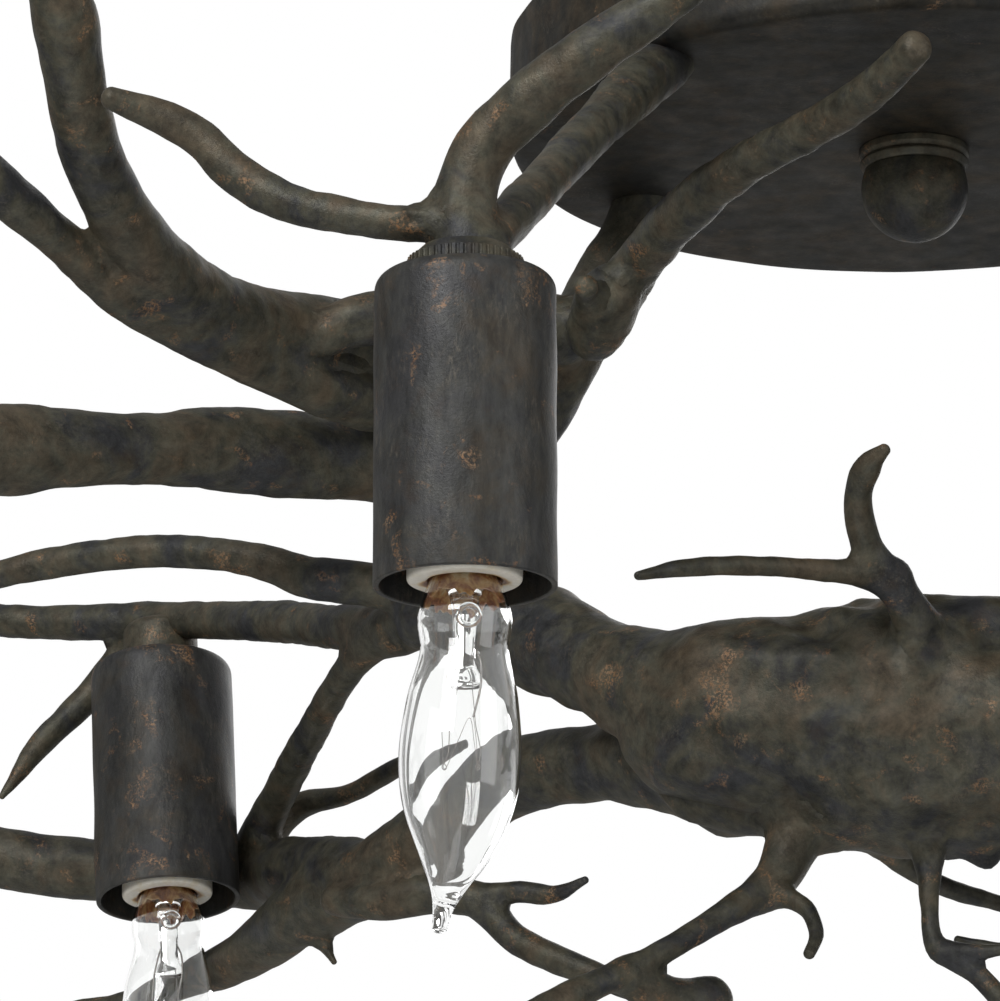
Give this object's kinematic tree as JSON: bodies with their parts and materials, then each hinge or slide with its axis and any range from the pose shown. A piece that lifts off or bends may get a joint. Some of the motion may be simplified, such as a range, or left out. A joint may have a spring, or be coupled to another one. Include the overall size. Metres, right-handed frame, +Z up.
{
  "type": "semi-flush ceiling light",
  "caption": "Twig-work semi-flush ceiling light: branched dark bronze rods from a swollen hub under a round canopy carry hanging cups with clear flame-shaped bulbs.",
  "frame": {"origin": "ceiling plane at the middle of the canopy, where the crossbar's top face meets the ceiling", "axes": "+Z up; the light hangs below the origin; the picture looks along +Y, so -Y is its near side and +X its right"},
  "size_m": [0.5692, 0.414, 0.259],
  "materials": {
    "aged_bronze": "hand-rubbed dark bronze with rust and copper flecks",
    "porcelain": "unglazed white",
    "brass": "dull",
    "base_cement": "amber cement, crazed",
    "bulb_glass": "clear",
    "zinc_steel": "zinc plated",
    "lead_sleeve": "dull sleeve",
    "connector_plastic": "moulded",
    "green_screw": "green dyed",
    "bulb_wire": "drawn wire"
  },
  "bodies": {
    "root": {"arch_rod_1": "aged_bronze", "arch_rod_2": "aged_bronze", "canopy_pan": "aged_bronze", "canopy_twigs": "aged_bronze", "centre_contacts": "brass", "centre_pipe": "zinc_steel", "far_beam_1": "aged_bronze", "far_beam_2": "aged_bronze", "far_leads": "lead_sleeve", "ground_screw": "green_screw", "holder_nipples": "zinc_steel", "hub_arm_lower_1": "aged_bronze", "hub_arm_lower_2": "aged_bronze", "hub_arm_upper_1": "aged_bronze", "hub_arm_upper_2": "aged_bronze", "hub_burl": "aged_bronze", "hub_twigs": "aged_bronze", "knotted_limb_1": "aged_bronze", "knotted_limb_2": "aged_bronze", "knurled_collars": "aged_bronze", "lampholder_1": "porcelain", "lampholder_2": "porcelain", "lampholder_3": "porcelain", "lampholder_4": "porcelain", "light_cup_1": "aged_bronze", "light_cup_2": "aged_bronze", "light_cup_3": "aged_bronze", "light_cup_4": "aged_bronze", "low_limb_1": "aged_bronze", "low_limb_2": "aged_bronze", "mounting_crossbar": "zinc_steel", "near_leads": "lead_sleeve", "neck_branches": "aged_bronze", "neck_sleeves": "aged_bronze", "pipe_locknut": "zinc_steel", "rising_limb_1": "aged_bronze", "rising_limb_2": "aged_bronze", "screw_shells": "brass", "slim_limb_1": "aged_bronze", "slim_limb_2": "aged_bronze", "stem_far_1": "aged_bronze", "stem_far_2": "aged_bronze", "stem_near_1": "aged_bronze", "stem_near_2": "aged_bronze", "struts": "aged_bronze", "wire_connectors": "connector_plastic"},
    "bulb_1_base": {"bulb_base_1": "brass"},
    "bulb_1": {"bulb_glass_1": "bulb_glass", "bulb_mount_1": "bulb_glass"},
    "bulb_2_base": {"bulb_base_2": "brass"},
    "bulb_2": {"bulb_glass_2": "bulb_glass", "bulb_mount_2": "bulb_glass"},
    "bulb_3_base": {"bulb_base_3": "brass"},
    "bulb_3": {"bulb_glass_3": "bulb_glass", "bulb_mount_3": "bulb_glass"},
    "bulb_4_base": {"bulb_base_4": "brass"},
    "bulb_4": {"bulb_glass_4": "bulb_glass", "bulb_mount_4": "bulb_glass"},
    "finial_ring": {"finial_check_ring": "aged_bronze"},
    "finial": {"finial_ball": "aged_bronze"}
  },
  "joints": [
    {"name": "bulb_1_travel", "type": "slide", "parent": "root", "child": "bulb_1_base", "axis": [0, 0, -1], "range_m": [0, 0.01016]},
    {"name": "bulb_1_turn", "type": "hinge", "parent": "bulb_1_base", "child": "bulb_1", "pos_m": [-0.11, -0.174, -0.184], "axis": [0, 0, -1], "range_deg": [0, 1440]},
    {"name": "bulb_2_travel", "type": "slide", "parent": "root", "child": "bulb_2_base", "axis": [0.0523, -0.139, -0.9889], "range_m": [0, 0.01016]},
    {"name": "bulb_2_turn", "type": "hinge", "parent": "bulb_2_base", "child": "bulb_2", "pos_m": [-0.19223, 0.15999, -0.1832], "axis": [0.0523, -0.139, -0.9889], "range_deg": [0, 1440]},
    {"name": "bulb_3_travel", "type": "slide", "parent": "root", "child": "bulb_3_base", "axis": [0, 0, -1], "range_m": [0, 0.01016]},
    {"name": "bulb_3_turn", "type": "hinge", "parent": "bulb_3_base", "child": "bulb_3", "pos_m": [0.11, 0.174, -0.184], "axis": [0, 0, -1], "range_deg": [0, 1440]},
    {"name": "bulb_4_travel", "type": "slide", "parent": "root", "child": "bulb_4_base", "axis": [-0.0523, 0.139, -0.9889], "range_m": [0, 0.01016]},
    {"name": "bulb_4_turn", "type": "hinge", "parent": "bulb_4_base", "child": "bulb_4", "pos_m": [0.19223, -0.15999, -0.1832], "axis": [-0.0523, 0.139, -0.9889], "range_deg": [0, 1440]},
    {"name": "finial_travel", "type": "slide", "parent": "root", "child": "finial_ring", "axis": [0, 0, -1], "range_m": [0, 0.00941]},
    {"name": "finial_turn", "type": "hinge", "parent": "finial_ring", "child": "finial", "pos_m": [0, 0, -0.04], "axis": [0, 0, -1], "range_deg": [0, 3600]}
  ],
  "couplings": [
    {"joint": "bulb_1_turn", "follows": "bulb_1_travel", "rad_per_m": 2473.7},
    {"joint": "bulb_2_turn", "follows": "bulb_2_travel", "rad_per_m": 2473.7},
    {"joint": "bulb_3_turn", "follows": "bulb_3_travel", "rad_per_m": 2473.7},
    {"joint": "bulb_4_turn", "follows": "bulb_4_travel", "rad_per_m": 2473.7},
    {"joint": "finial_turn", "follows": "finial_travel", "rad_per_m": 6679.3}
  ]
}
